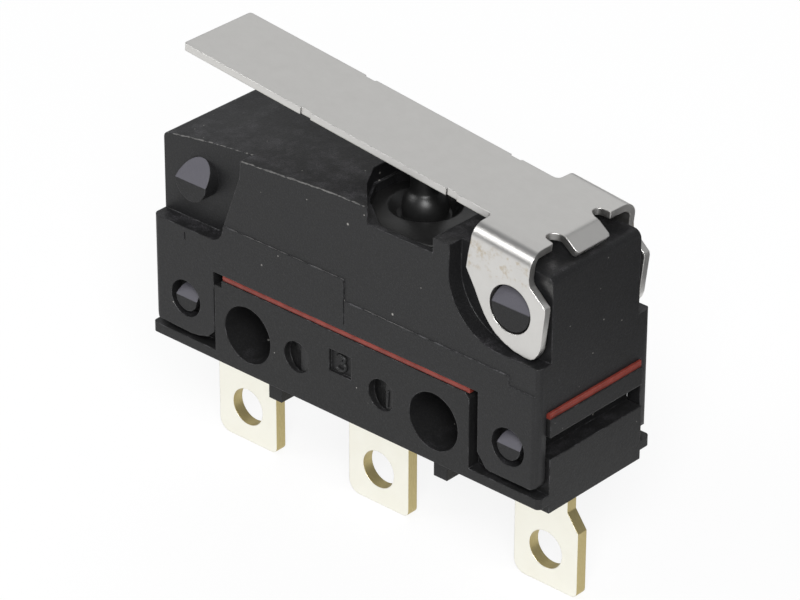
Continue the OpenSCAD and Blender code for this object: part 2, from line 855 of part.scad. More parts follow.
// the snap spring: a coil swept between the drive arm's tip and the moving blade
spring_from = [plunger_x + drive_reach + spring_gap, drive_z - 0.06];
spring_to = [contact_x - spring_hold, blade_z + blade_t + coil_r + 0.08];
turns = 9;
sides = 6;
steps = 12 * turns;
spring_len = norm(spring_to - spring_from);
spring_tilt = atan2(spring_from[1] - spring_to[1], spring_to[0] - spring_from[0]);

function coil_ring(i) = let (a = 360 * turns * i / steps, s = spring_len * i / steps)
    [for (k = [0 : sides - 1]) let (b = 360 * k / sides, r = coil_r - wire_r + wire_r * cos(b))
        [s + wire_r * sin(b), r * cos(a), r * sin(a)]];

module snap_spring() {
    pts = [for (i = [0 : steps]) each coil_ring(i)];
    color("#b9b9b5")
    translate([spring_from[0], 0, spring_from[1]])
        rotate([0, spring_tilt, 0])
            polyhedron(points = pts, faces = concat(
                [[for (k = [0 : sides - 1]) k]],
                [for (i = [0 : steps - 1], k = [0 : sides - 1]) let (n = (k + 1) % sides)
                    [i * sides + k, (i + 1) * sides + k, (i + 1) * sides + n, i * sides + n]],
                [[for (k = [0 : sides - 1]) steps * sides + sides - 1 - k]]));
}

case();
base();
seal_gasket();
plunger();
plunger_boot();
lever();
com_terminal();
no_terminal();
nc_terminal();
no_contact();
nc_contact();
drive_arm();
moving_blade();
moving_contact();
snap_spring();
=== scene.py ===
# %% [markdown]
# # A sealed micro switch with a long hinge lever
#
# The switch is a black moulded case clipped over a black base, with a thin red
# seal between them, three plated solder terminals below and a bent steel lever on
# top that presses a small plunger under a rubber boot. The construction comes from
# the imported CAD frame. This lesson gives every part its finish, adds the small
# forms that only the eye needs, and sets up the studio. Lengths are in metres, as
# Blender keeps them, and `MM` turns a drawing's millimetres into them.

import math

import bmesh
import bpy
import numpy as np
from mathutils import Matrix, Vector
from mathutils.geometry import delaunay_2d_cdt


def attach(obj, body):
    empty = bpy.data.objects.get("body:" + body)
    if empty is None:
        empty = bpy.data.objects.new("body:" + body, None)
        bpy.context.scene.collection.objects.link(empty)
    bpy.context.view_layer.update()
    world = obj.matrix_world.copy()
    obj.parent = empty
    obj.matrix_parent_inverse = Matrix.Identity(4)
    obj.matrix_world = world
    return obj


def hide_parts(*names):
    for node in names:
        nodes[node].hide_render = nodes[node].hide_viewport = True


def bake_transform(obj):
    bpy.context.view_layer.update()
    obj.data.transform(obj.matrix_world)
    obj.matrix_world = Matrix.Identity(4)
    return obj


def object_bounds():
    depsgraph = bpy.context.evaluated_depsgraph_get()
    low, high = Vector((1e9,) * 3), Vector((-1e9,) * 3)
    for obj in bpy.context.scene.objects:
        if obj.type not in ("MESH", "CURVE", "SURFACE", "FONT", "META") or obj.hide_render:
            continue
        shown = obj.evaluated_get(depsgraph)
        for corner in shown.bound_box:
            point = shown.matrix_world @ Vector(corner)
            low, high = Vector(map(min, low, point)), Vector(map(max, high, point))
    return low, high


MM = 0.001
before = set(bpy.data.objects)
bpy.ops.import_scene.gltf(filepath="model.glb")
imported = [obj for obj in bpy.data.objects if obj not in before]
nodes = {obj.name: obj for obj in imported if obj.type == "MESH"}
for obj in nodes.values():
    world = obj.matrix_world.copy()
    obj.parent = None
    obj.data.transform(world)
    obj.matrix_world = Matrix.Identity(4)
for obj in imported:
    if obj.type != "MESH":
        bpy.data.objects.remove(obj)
cad_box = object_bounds()
print("nodes in the frame:", ", ".join(sorted(nodes)))
print("box of the frame:", [[round(v / MM, 2) for v in corner] for corner in cad_box])

# %% [markdown]
# ## The camera
#
# A small product is best shown through a long lens from well away, so its edges stay
# nearly parallel. The camera looks at the middle of the body from in front and
# to the right, about thirty degrees above the table. Its three axes are worked out
# from those angles, which is clearer than aiming it by a constraint.

# %% Camera
CAMERA_AZIMUTH = math.radians(41.95)
CAMERA_ELEVATION = math.radians(29.35)
CAMERA_ROLL = math.radians(0.21)
CAMERA_DISTANCE = 163.3 * MM
CAMERA_ASIDE, CAMERA_LIFT = 0.154 * MM, 1.766 * MM
CAMERA_LENS = 193.1


def camera_matrix(azimuth, elevation, roll, distance, aside, lift):
    """Place of a camera on a sphere round the origin: its back axis points along the
    sphere's radius, its right axis lies level, and both are then rolled."""
    back = Vector((math.sin(azimuth) * math.cos(elevation),
                   -math.cos(azimuth) * math.cos(elevation), math.sin(elevation)))
    level = Vector((math.cos(azimuth), math.sin(azimuth), 0))
    upright = back.cross(level)
    right = level * math.cos(roll) + upright * math.sin(roll)
    up = upright * math.cos(roll) - level * math.sin(roll)
    place = back * distance + right * aside + up * lift
    return Matrix((
        (right.x, up.x, back.x, place.x),
        (right.y, up.y, back.y, place.y),
        (right.z, up.z, back.z, place.z),
        (0, 0, 0, 1)))


camera_data = bpy.data.cameras.new("camera")
camera_data.lens = CAMERA_LENS
camera_data.sensor_width = 36
camera_data.clip_start = 0.01
camera = bpy.data.objects.new("camera", camera_data)
camera.matrix_world = camera_matrix(CAMERA_AZIMUTH, CAMERA_ELEVATION, CAMERA_ROLL,
                                    CAMERA_DISTANCE, CAMERA_ASIDE, CAMERA_LIFT)
bpy.context.scene.collection.objects.link(camera)
bpy.context.scene.camera = camera
print("camera at", [round(v / MM, 1) for v in camera.location], "mm")

# %% [markdown]
# ## Shader maths as plain expressions
#
# A finish is easier to read as a formula than as a list of wires. `Wire` holds one
# output socket, and arithmetic on it adds the Math nodes. `Paint` is a material with
# one method that adds any other node: first its settings, then its sockets.


# %% Wires and paints
class Wire:
    """An output socket that can be used in sums and products."""

    def __init__(self, paint, socket):
        self.paint = paint
        self.socket = socket

    def math(self, operation, *values):
        return self.paint.node("ShaderNodeMath", {"operation": operation},
                               dict(enumerate(values)))

    def __add__(self, other):
        return self.math("ADD", self, other)

    def __rsub__(self, other):
        return self.math("SUBTRACT", other, self)

    def __mul__(self, other):
        return self.math("MULTIPLY", self, other)

    __radd__ = __add__
    __rmul__ = __mul__

    def size(self):
        """The number without its sign."""
        return self.math("ABSOLUTE", self)

    def ramp(self, low, high, start=0.0, end=1.0):
        """A smooth step: start below low, end above high."""
        return self.paint.node(
            "ShaderNodeMapRange", {"interpolation_type": "SMOOTHSTEP"},
            {"Value": self, "From Min": low, "From Max": high, "To Min": start, "To Max": end})


class Paint:
    """A material with one Principled shader. Constants go on the shader's own sockets."""

    def __init__(self, name, **constants):
        self.material = bpy.data.materials.new(name)
        self.material.use_nodes = True
        self.tree = self.material.node_tree
        self.tree.nodes.clear()
        self.shader = self.tree.nodes.new("ShaderNodeBsdfPrincipled")
        output = self.tree.nodes.new("ShaderNodeOutputMaterial")
        self.tree.links.new(self.shader.outputs[0], output.inputs["Surface"])
        for socket, value in constants.items():
            self.shader.inputs[socket.replace("_", " ")].default_value = value

    def node(self, kind, settings=None, sockets=None, out=0):
        """Adds a node: its settings first, then the values or wires of its sockets."""
        made = self.tree.nodes.new(kind)
        for name, value in (settings or {}).items():
            setattr(made, name, value)
        for name, value in (sockets or {}).items():
            if isinstance(value, Wire):
                self.tree.links.new(value.socket, made.inputs[name])
            elif value is not None:
                made.inputs[name].default_value = value
        return Wire(self, made.outputs[out])

    def feed(self, **wires):
        """Joins wires to the shader's sockets."""
        for name, wire in wires.items():
            self.tree.links.new(wire.socket, self.shader.inputs[name.replace("_", " ")])
        return self

    def place(self):
        """Object coordinates in millimetres."""
        where = self.node("ShaderNodeTexCoord", out="Object")
        return self.node("ShaderNodeVectorMath", {"operation": "SCALE"},
                         {"Vector": where, "Scale": 1 / MM})

    def axes(self, vector):
        """The three numbers of a vector."""
        first = self.node("ShaderNodeSeparateXYZ", None, {0: vector})
        split = first.socket.node
        return tuple(Wire(self, split.outputs[i]) for i in range(3))

    def stretch(self, vector, scale):
        """A vector multiplied part by part."""
        return self.node("ShaderNodeVectorMath", {"operation": "MULTIPLY"},
                         {0: vector, 1: scale})

    def noise(self, vector, scale, detail=2.0, rough=0.5):
        """Smooth noise from 0 to 1, scale features to the millimetre."""
        return self.node("ShaderNodeTexNoise", {"normalize": True},
                         {"Vector": vector, "Scale": scale, "Detail": detail, "Roughness": rough})

    def specks(self, vector, scale, radius, share):
        """Round specks: a grid of scattered points, of which only a share is kept."""
        near = self.node("ShaderNodeTexVoronoi", {"feature": "F1"},
                         {"Vector": vector, "Scale": scale}, out="Distance")
        tone = Wire(self, near.socket.node.outputs["Color"])
        kept = self.axes(tone)[0].math("LESS_THAN", self.axes(tone)[0], share)
        return near.ramp(radius, radius * 0.4) * kept

    def mix(self, factor, first, second):
        """From the first colour to the second as factor goes from 0 to 1."""
        return self.node("ShaderNodeMix", {"data_type": "RGBA"},
                         {0: factor, 6: first, 7: second}, out=2)

    def bump(self, height, distance, normal=None, strength=1.0):
        """A relief of that height in metres."""
        return self.node("ShaderNodeBump", None,
                         {"Height": height, "Distance": distance, "Strength": strength,
                          "Normal": normal})

    def round_edges(self, radius):
        """The normal of the same surface with its edges rounded to a radius, and how far
        a point lies inside such an edge, from 0 to 1."""
        soft = self.node("ShaderNodeBevel", {"samples": 6}, {"Radius": radius})
        true = self.node("ShaderNodeNewGeometry", out="True Normal")
        agree = self.node("ShaderNodeVectorMath", {"operation": "DOT_PRODUCT"},
                          {0: soft, 1: true}, out="Value")
        return soft, agree.ramp(0.995, 0.8)


def rgb(red, green, blue):
    """A colour for a socket."""
    return (red, green, blue, 1.0)


print("wires and paints are ready")

# %% [markdown]
# ## Moulded black plastic
#
# Case and base are glass-filled black plastic from a spark-eroded mould. It is not
# quite black: the grain scatters a little light, the edges carry a thread of flash
# whose pale grey is a painted highlight, the corners show grey that is partly edge wear
# and partly a painted edge highlight, and a few pale specks of dust sit on it. The
# ramps of the studs are a shade paler: a painted highlight on the faces that tilt up
# and outwards. Base, case and studs share one recipe with slightly different tones.
# It could be a painted image, but noise on Object coordinates stays sharp at any
# distance and needs no unwrapping.


# %% Black plastic
EDGE_WEAR_AND_HIGHLIGHT = 0.07 * MM
GRAIN_DEPTH = 0.011 * MM
SCUFF_GREY = rgb(0.055, 0.053, 0.058)
# Painted highlight: a paler grey for the studs' ramps, standing in for the lamp's light on them.
RAMP_HIGHLIGHT_GREY = rgb(0.068, 0.066, 0.078)
# A grey for the edges that is partly edge wear and partly a painted highlight along the edges.
RUBBED_AND_HIGHLIGHT_GREY = rgb(0.10, 0.10, 0.105)
DUST_GREY = rgb(0.32, 0.31, 0.29)


def black_plastic(name, tone, roughness, seed, scuffed, ramp_highlight=0.0):
    """The tone in soft clouds, then five layers mixed over it, each by its own mask: a
    fine pale grain, scuffs on what faces up, a painted highlight on the studs' ramps
    (which face both up and sideways), grey edges that are partly edge wear and partly a
    painted edge highlight, and specks of dust."""
    paint = Paint(name, IOR=1.365)
    place = paint.place()
    moved = paint.node("ShaderNodeVectorMath", {"operation": "ADD"},
                       {0: place, 1: (seed, seed * 0.7, seed * 1.3)})
    cloud = paint.noise(moved, 0.35, 3.0)
    grain = paint.noise(moved, 9.0, 3.0, 0.6)
    fine = paint.noise(moved, 24.0, 2.0)
    across, facing = paint.axes(paint.node("ShaderNodeTexCoord", out="Normal"))[1:]
    soft, edge = paint.round_edges(EDGE_WEAR_AND_HIGHLIGHT)
    # Edge mask with patchy noise: partly edge wear, partly a painted highlight on every edge,
    # hollow ones too.
    wear_and_highlight_mask = edge * paint.noise(moved, 2.2, 3.0, 0.7).ramp(0.46, 0.66)
    scuff = (facing.ramp(0.8, 0.95) * paint.noise(moved, 1.3, 5.0, 0.7).ramp(0.42, 0.72)
             * fine.ramp(0.35, 0.65)) * scuffed
    dust = paint.specks(moved, 0.9, 0.06, 0.45) + paint.specks(moved, 2.1, 0.08, 0.16)
    dark = paint.mix(cloud, rgb(*(0.8 * c for c in tone)), rgb(*(1.25 * c for c in tone)))
    dark = paint.mix(fine.ramp(0.45, 0.75) * 0.5, dark, rgb(*(4.0 * c for c in tone)))
    dark = paint.mix(scuff, dark, SCUFF_GREY)
    # Painted highlight: faces that tilt up and outwards turn paler, where a lamp's reflection
    # would fall.
    ramps = facing.ramp(0.2, 0.35) * (across * across).ramp(0.2, 0.4)
    dark = paint.mix(ramps * ramp_highlight, dark, RAMP_HIGHLIGHT_GREY)
    wear_and_highlight_colour = paint.mix(wear_and_highlight_mask * 0.6, dark, RUBBED_AND_HIGHLIGHT_GREY)
    colour = paint.mix(dust * 0.7, wear_and_highlight_colour, DUST_GREY)
    relief = paint.bump(grain * 0.6 + fine * 0.4, GRAIN_DEPTH, soft)
    return paint.feed(Base_Color=colour, Roughness=grain * 0.16 + cloud * 0.1 + roughness,
                      Normal=relief)


case_paint = black_plastic("moulded_case", (0.0062, 0.0062, 0.0066), 0.35, 3.1, 0.8)
stud_paint = black_plastic("moulded_studs", (0.0062, 0.0062, 0.0066), 0.42, 5.3, 0.0, 1.0)
base_paint = black_plastic("moulded_base", (0.0056, 0.0056, 0.0058), 0.37, 7.7, 0.4)
print("black plastic:", [p.material.name for p in (case_paint, stud_paint, base_paint)])

# %% [markdown]
# ## Red seal
#
# A band of red silicone is squeezed between case and base. It is matt and a little
# uneven in depth of colour.

# %% Red seal
seal_paint = Paint("red_silicone", IOR=1.43)
seal_place = seal_paint.place()
seal_cloud = seal_paint.noise(seal_place, 1.6, 3.0)
seal_colour = seal_paint.mix(seal_cloud.ramp(0.3, 0.7), rgb(0.12, 0.017, 0.011),
                             rgb(0.18, 0.030, 0.021))
seal_paint.feed(Base_Color=seal_colour, Roughness=seal_cloud * 0.2 + 0.36,
                Normal=seal_paint.bump(seal_paint.noise(seal_place, 7.0), 0.01 * MM))
print("seal:", seal_paint.material.name)

# %% [markdown]
# ## Stainless lever
#
# The lever is stamped from thin stainless strip with a fine rolled grain along its
# length. The ears carry faint brown traces of drawing oil, just under the bend.

# %% Stainless steel
steel_paint = Paint("rolled_stainless", Metallic=1.0)
steel_place = steel_paint.place()
steel_y, steel_z = steel_paint.axes(steel_place)[1:]
rolled = steel_paint.noise(steel_paint.stretch(steel_place, (0.4, 3.0, 3.0)), 6.0, 3.0, 0.6)
mottle = steel_paint.noise(steel_place, 1.2, 4.0, 0.6)
steel_soft = steel_paint.round_edges(0.05 * MM)[0]
oil = (steel_paint.noise(steel_place, 2.6, 4.0, 0.65).ramp(0.5, 0.72)
       * steel_z.ramp(6.6, 7.3) * steel_z.ramp(8.35, 7.9) * steel_y.size().ramp(2.7, 2.9))
steel_colour = steel_paint.mix(mottle, rgb(0.57, 0.56, 0.54), rgb(0.66, 0.65, 0.63))
steel_colour = steel_paint.mix(oil * 0.6, steel_colour, rgb(0.42, 0.33, 0.20))
steel_paint.feed(Base_Color=steel_colour, Roughness=rolled * 0.14 + mottle * 0.08 + 0.25,
                 Normal=steel_paint.bump(rolled, 0.0015 * MM, steel_soft))
print("lever:", steel_paint.material.name)

# %% [markdown]
# ## Plated terminals
#
# The terminals are punched from plated brass strip. Their faces are creamy white
# plating; the sheared edges and the walls of the eyes show the brass. The faces are
# the places whose own normal points along Y.

# %% Plated brass
plate_paint = Paint("plated_brass", Metallic=1.0)
plate_place = plate_paint.place()
plate_normal = plate_paint.node("ShaderNodeTexCoord", out="Normal")
face = plate_paint.axes(plate_normal)[1].size().ramp(0.55, 0.9)
haze = plate_paint.noise(plate_place, 0.9, 3.0)
shear = plate_paint.noise(plate_paint.stretch(plate_place, (1.0, 6.0, 1.0)), 5.0, 3.0)
plate_soft = plate_paint.round_edges(0.06 * MM)[0]
plating = plate_paint.mix(haze, rgb(0.86, 0.84, 0.74), rgb(0.93, 0.92, 0.84))
brass = plate_paint.mix(shear, rgb(0.42, 0.34, 0.15), rgb(0.60, 0.52, 0.28))
plate_paint.feed(Base_Color=plate_paint.mix(face, brass, plating),
                 Roughness=haze * 0.1 + (1 - face) * 0.12 + 0.34,
                 Normal=plate_paint.bump(plate_paint.noise(plate_place, 8.0, 3.0), 0.003 * MM,
                                         plate_soft))
print("terminals:", plate_paint.material.name)

# %% [markdown]
# ## Rubber boot and the inner parts
#
# The boot is smooth black rubber with a soft shine. The plunger is pale nylon, the
# blades are copper alloy and the contacts are silver: all are inside, but each still
# has its own finish for anyone who opens the case.

# %% Rubber, nylon, copper and silver
boot_paint = Paint("boot_rubber", IOR=1.45)
boot_place = boot_paint.place()
boot_cloud = boot_paint.noise(boot_place, 3.0, 3.0)
boot_paint.feed(
    Base_Color=boot_paint.mix(boot_cloud, rgb(0.006, 0.006, 0.006), rgb(0.012, 0.012, 0.012)),
    Roughness=boot_cloud * 0.10 + 0.33,
    Normal=boot_paint.bump(boot_paint.noise(boot_place, 14.0), 0.002 * MM))


def plain_finish(name, low, high, roughness, metallic, scale):
    """Two close tones in soft patches, with a roughness that follows them."""
    paint = Paint(name, Metallic=metallic)
    patch = paint.noise(paint.place(), scale, 3.0)
    return paint.feed(Base_Color=paint.mix(patch, rgb(*low), rgb(*high)),
                      Roughness=patch * 0.12 + roughness,
                      Normal=paint.bump(patch, 0.002 * MM))


nylon_paint = plain_finish("pale_nylon", (0.62, 0.60, 0.54), (0.70, 0.68, 0.62), 0.35, 0.0, 3.0)
silver_paint = plain_finish("silver_alloy", (0.80, 0.79, 0.76), (0.90, 0.89, 0.87), 0.22, 1.0, 6.0)
copper_paint = plain_finish("copper_alloy", (0.72, 0.42, 0.22), (0.80, 0.50, 0.28), 0.25, 1.0, 4.0)
wire_paint = plain_finish("spring_wire", (0.50, 0.49, 0.47), (0.60, 0.59, 0.57), 0.25, 1.0, 8.0)
print("inner finishes:", len((nylon_paint, silver_paint, copper_paint, wire_paint)))

# %% [markdown]
# ## Helpers for new shapes
#
# A new piece is a surface worked out with numpy as a grid of points, or a profile
# carried along a path. `weld` closes its seams and poles and turns its faces
# outwards. `moulded` takes a merged copy of a CAD node and cuts small forms out of
# it with a Boolean, which leaves the node itself as it was.

# %% Grids, tubes and studs


def grid_object(name, points, across, along):
    """A mesh from a grid of points: across by along of them, joined by four-sided faces."""
    mesh = bpy.data.meshes.new(name)
    row = np.arange(across - 1)
    corner = (np.arange(along - 1)[:, None] * across + row).ravel()
    faces = np.stack([corner, corner + 1, corner + across + 1, corner + across], axis=1)
    mesh.from_pydata(points.reshape(-1, 3).tolist(), [], faces.tolist())
    made = bpy.data.objects.new(name, mesh)
    bpy.context.scene.collection.objects.link(made)
    return made


def weld(thing, sharp=35.0):
    """Merges doubled points, turns the faces outwards and smooths all but sharp edges."""
    work = bmesh.new()
    work.from_mesh(thing.data)
    bmesh.ops.remove_doubles(work, verts=work.verts, dist=1e-7)
    bmesh.ops.dissolve_degenerate(work, edges=work.edges, dist=1e-8)
    bmesh.ops.recalc_face_normals(work, faces=work.faces)
    work.to_mesh(thing.data)
    work.free()
    thing.data.shade_smooth()
    thing.data.set_sharp_from_angle(angle=math.radians(sharp))
    return thing


def steady_normals(thing):
    """Marks sharp every edge that turns more than 32 degrees, and the faint creases between
    two flat faces, then weights each normal by the area of its faces, so flats stay flat."""
    work = bmesh.new()
    work.from_mesh(thing.data)
    for edge in work.edges:
        turn = math.degrees(edge.calc_face_angle(math.pi))
        edge.smooth = not (turn > 32 or 0.3 < turn < 5.5)
    work.to_mesh(thing.data)
    work.free()
    weigh = thing.modifiers.new("weigh", "WEIGHTED_NORMAL")
    weigh.mode, weigh.weight, weigh.keep_sharp = "FACE_AREA", 100, True
    return thing


def join(name, things):
    """Several objects as one, under a new name."""
    bpy.ops.object.select_all(action="DESELECT")
    for thing in things:
        thing.select_set(True)
    bpy.context.view_layer.objects.active = things[0]
    bpy.ops.object.join()
    things[0].name = things[0].data.name = name
    return things[0]


def tube(name, path, wide, high, up=(0, 0, 1), sides=10):
    """A tube along a path in millimetres. Round each point runs an ellipse with the half
    axes wide (level) and high (along up), square to the path; both ends are closed."""
    path = np.asarray(path, float)
    wide = np.broadcast_to(wide, len(path)).astype(float)
    high = np.broadcast_to(high, len(path)).astype(float)
    path = np.vstack([path[:1], path, path[-1:]])
    wide, high = (np.concatenate([[0.0], r, [0.0]]) for r in (wide, high))
    run = np.gradient(path[1:-1], axis=0)
    run = np.vstack([run[:1], run, run[-1:]])
    run /= np.linalg.norm(run, axis=1, keepdims=True)
    level = np.cross(run, np.asarray(up, float))
    level /= np.linalg.norm(level, axis=1, keepdims=True)
    rise = np.cross(level, run)
    turn = np.linspace(0, 2 * math.pi, sides + 1)
    ring = (np.cos(turn)[None, :, None] * (level * wide[:, None])[:, None]
            + np.sin(turn)[None, :, None] * (rise * high[:, None])[:, None])
    points = (path[:, None] + ring) * MM
    return weld(grid_object(name, points, sides + 1, len(path)), 50)


def prism(name, outline, low, high, axis):
    """A closed block: an outline of (a, b) points in millimetres, carried along an axis.
    Along Z the outline is (x, y); along Y it is (x, z)."""
    outline = np.asarray(outline, float)
    order = {"z": (0, 1, 2), "y": (0, 2, 1)}[axis]
    ends = [np.insert(outline, 2, level, axis=1)[:, np.argsort(order)] for level in (low, high)]
    points = np.vstack(ends) * MM
    count = len(outline)
    one = np.arange(count)
    two = np.roll(one, -1)
    sides = np.stack([one, two, two + count, one + count], axis=1).tolist()
    mesh = bpy.data.meshes.new(name)
    mesh.from_pydata(points.tolist(), [], sides + [one[::-1].tolist(), (one + count).tolist()])
    made = bpy.data.objects.new(name, mesh)
    bpy.context.scene.collection.objects.link(made)
    return weld(made)


def circle(x, z, radius, steps=40):
    """Points of a circle."""
    turn = np.linspace(0, 2 * math.pi, steps, endpoint=False)
    return np.stack([x + radius * np.cos(turn), z + radius * np.sin(turn)], axis=1)


def box(x0, x1, z0, z1):
    """Corners of a rectangle."""
    return [(x0, z0), (x1, z0), (x1, z1), (x0, z1)]


def stud(name, x, z, radius, root, tip, crease, side):
    """A stud on a side face. Its end is flat at the tip below the crease line; above it
    the end falls back in a straight ramp, so y = tip + (root - tip) * rise / height."""
    turn = np.linspace(0, 2 * math.pi, 64, endpoint=False)
    start = math.asin(crease / radius)
    creases = np.array([start, math.pi - start]) % (2 * math.pi)
    turn = np.sort(np.concatenate([turn, creases]))
    across, rise = radius * np.cos(turn), radius * np.sin(turn)
    share = np.clip((rise - crease) / (radius - crease), 0, 1)
    end = np.stack([x + across, side * (tip + (root - 0.03 - tip) * share), z + rise], axis=1)
    foot = np.stack([x + across, np.full_like(rise, side * (root - 0.08)), z + rise], axis=1)
    count = len(turn)
    one = np.arange(count)
    two = np.roll(one, -1)
    flat = one[rise <= crease + 1e-9]
    ramp = one[rise >= crease - 1e-9]
    flat = np.roll(flat, -int(np.argmax(np.diff(flat, append=flat[0] + count) > 1)) - 1)
    mesh = bpy.data.meshes.new(name)
    mesh.from_pydata((np.vstack([end, foot]) * MM).tolist(), [],
                     np.stack([one, two, two + count, one + count], axis=1).tolist()
                     + [flat.tolist(), ramp.tolist(), (one + count).tolist()])
    made = bpy.data.objects.new(name, mesh)
    bpy.context.scene.collection.objects.link(made)
    return weld(made)


def volume(mesh):
    """Volume in cubic millimetres."""
    work = bmesh.new()
    work.from_mesh(mesh)
    size = work.calc_volume(signed=False)
    work.free()
    return size / MM ** 3


def moulded(node_name, cutters, body):
    """A merged copy of a CAD node with the cutters taken out of it, shown in its place."""
    mesh = nodes[node_name].data.copy()
    mesh.name = node_name + "_moulding"
    copy = bpy.data.objects.new(node_name + "_moulding", mesh)
    bpy.context.scene.collection.objects.link(copy)
    weld(copy)
    before = volume(copy.data)
    tool = join(node_name + "_cutters", cutters)
    cut = copy.modifiers.new("cut", "BOOLEAN")
    cut.operation, cut.solver, cut.object = "DIFFERENCE", "EXACT", tool
    cut.use_self = True
    shown = copy.evaluated_get(bpy.context.evaluated_depsgraph_get())
    carved = bpy.data.meshes.new_from_object(shown)
    copy.modifiers.clear()
    copy.data = carved
    bpy.data.objects.remove(tool)
    steady_normals(weld(copy))
    print(node_name, "volume", round(before, 2), "->", round(volume(copy.data), 2), "mm3")
    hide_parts(node_name)
    return finish(copy, body)


def finish(thing, body):
    """Joins a piece to its body."""
    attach(thing, body)
    return thing


def dress(thing, paint):
    """Gives an object one material."""
    thing.data.materials.clear()
    thing.data.materials.append(paint.material)
    return thing


print("shape helpers are ready")

# %% [markdown]
# ## Small forms of the case and base
#
# The real case has a deeper pocket round the boot, whose sides stand as thin sills,
# and studs whose ramps end at their middle. These could be modelled by hand on the
# node's mesh, but a Boolean on a merged copy keeps each form as one named cutter:
# the pocket, the groove and the tick are cut out, and the studs' ends are cut off and
# set on again with flat, clean ramps.

# %% Case and base mouldings
HALF_T = 3.2
OUTSIDE = 3.4
STUD_ROOT = 2.475
LATCH_ROOT = 2.625
SCRATCH_FLOOR = 3.12
POCKET_FLOOR, POCKET_ROOF = 6.45, 7.35
HINGE_X, HINGE_Z = 8.14, 5.94
SPARE_X, SPARE_Z = -7.68, 5.55
WINDOWS = (8.37, -8.05)
WINDOW_Z = 0.38
POCKET = [(4.5, -2.92), (1.85, -2.92), (0.22, -1.72), (-0.5, -0.58), (-0.5, 0.58), (0.22, 1.72),
          (1.85, 2.92), (4.5, 2.92)]

case_cutters = [prism("pocket", POCKET, POCKET_FLOOR, POCKET_ROOF, "z")]
base_cutters = []
for side in (-1, 1):
    case_cutters += [
        prism("spare", circle(SPARE_X, 5.8, 0.83), side * STUD_ROOT, side * OUTSIDE, "y"),
        prism("hinge", circle(HINGE_X, HINGE_Z, 0.93), side * STUD_ROOT, side * OUTSIDE, "y"),
        prism("groove", box(0.235, 0.285, 2.4, 4.27), side * SCRATCH_FLOOR, side * OUTSIDE, "y"),
        prism("tick", box(-8.05, -7.99, 2.98, 3.3), side * SCRATCH_FLOOR, side * OUTSIDE, "y")]
    base_cutters += [
        prism("latch", circle(x, WINDOW_Z, 0.72), side * LATCH_ROOT, side * OUTSIDE, "y")
        for x in WINDOWS]
print("cutters:", len(case_cutters), "for the case,", len(base_cutters), "for the base")

# %% [markdown]
# ## Round mould marks
#
# Two ejector pins left round marks on the front. Their ends were not quite square to
# the face, so each mark is deep on its left and runs out to nothing on its right. A
# slanted plug cuts the mark's floor, and a second one fills what the CAD node's flat
# mark has too much.

# %% Mark plugs and the finished mouldings
MARKS = ((-2.18, 0.05), (2.15, 0.10))
MARK_R, MARK_DEPTH = 0.655, 0.34
MARK_FRONT, MARK_BACK, PLUG_BACK = -3.5, -2.4, -2.5


def slanted(name, x, z, low, high, end):
    """A round plug on the front, from y = low to y = high, with one end slanted: that end's
    y falls from the mark's depth at its left side to the face at its right side."""
    plug = prism(name, circle(x, z, MARK_R), low, high, "y")
    points = np.array([v.co for v in plug.data.vertices]) / MM
    slant = -HALF_T + MARK_DEPTH * (x + MARK_R - points[:, 0]) / (2 * MARK_R)
    points[:, 1] = np.where(np.isclose(points[:, 1], end, atol=1e-4), slant, points[:, 1])
    plug.data.vertices.foreach_set("co", (points * MM).ravel())
    return plug


base_cutters += [slanted("mark", x, z, MARK_FRONT, MARK_BACK, MARK_BACK) for x, z in MARKS]
case_moulding = dress(moulded("case", case_cutters, "housing"), case_paint)
base_moulding = dress(moulded("base", base_cutters, "housing"), base_paint)

spare_studs = join("spare_studs", [
    stud("spare", SPARE_X, SPARE_Z, 0.8, 2.5, 3.19, 0.0, side) for side in (-1, 1)])
latch_studs = join("latch_studs", [
    stud("latch", x - 0.03, WINDOW_Z - 0.02, 0.55, 2.65, 3.14, 0.0, side)
    for side in (-1, 1) for x in WINDOWS])
hinge_studs = join("hinge_studs", [
    stud("hinge", HINGE_X, HINGE_Z, 0.9, 2.5, 2.92, 0.02, side) for side in (-1, 1)])
mark_plugs = join("mark_plugs", [slanted("plug", x, z, MARK_FRONT, PLUG_BACK, MARK_FRONT)
                                 for x, z in MARKS])
dress(finish(spare_studs, "housing"), stud_paint)
dress(finish(hinge_studs, "housing"), stud_paint)
dress(finish(mark_plugs, "housing"), base_paint)
dress(finish(latch_studs, "housing"), stud_paint)
print("studs:", [o.name for o in (spare_studs, hinge_studs, latch_studs, mark_plugs)])

# %% [markdown]
# ## The lever as a folded sheet
#
# The lever is one stamping, so it is made as one: an outline on a flat strip, two
# round holes, and then the folds. A point at (u, v) on the strip goes to the flat
# plate, round a bend of a quarter turn, or on to an ear, whichever its v falls in;
# past a line on u the tab bends down in the same way. The strip is cut into triangles
# with extra lines along the bends, so the folds come out round.

# %% Lever
SHEET = 0.3
EYE_R = 0.97
RISE = 2.545
SLOPE = math.radians(6.45)
BEND = 0.55
FLAT_HALF = 2.4
TAB_START, TAB_ANGLE = 0.37, math.radians(31)
EAR_START = FLAT_HALF + BEND * math.pi / 2
EYE_V = EAR_START + RISE - BEND


def on_ear(x, z):
    """A point of an ear on the flat strip."""
    return (x, EAR_START + RISE - BEND - z)


def corner(cx, cy, radius, first, last, steps=6):
    """Points of a rounded corner."""
    turn = np.radians(np.linspace(first, last, steps))
    return list(zip(cx + radius * np.cos(turn), cy + radius * np.sin(turn)))


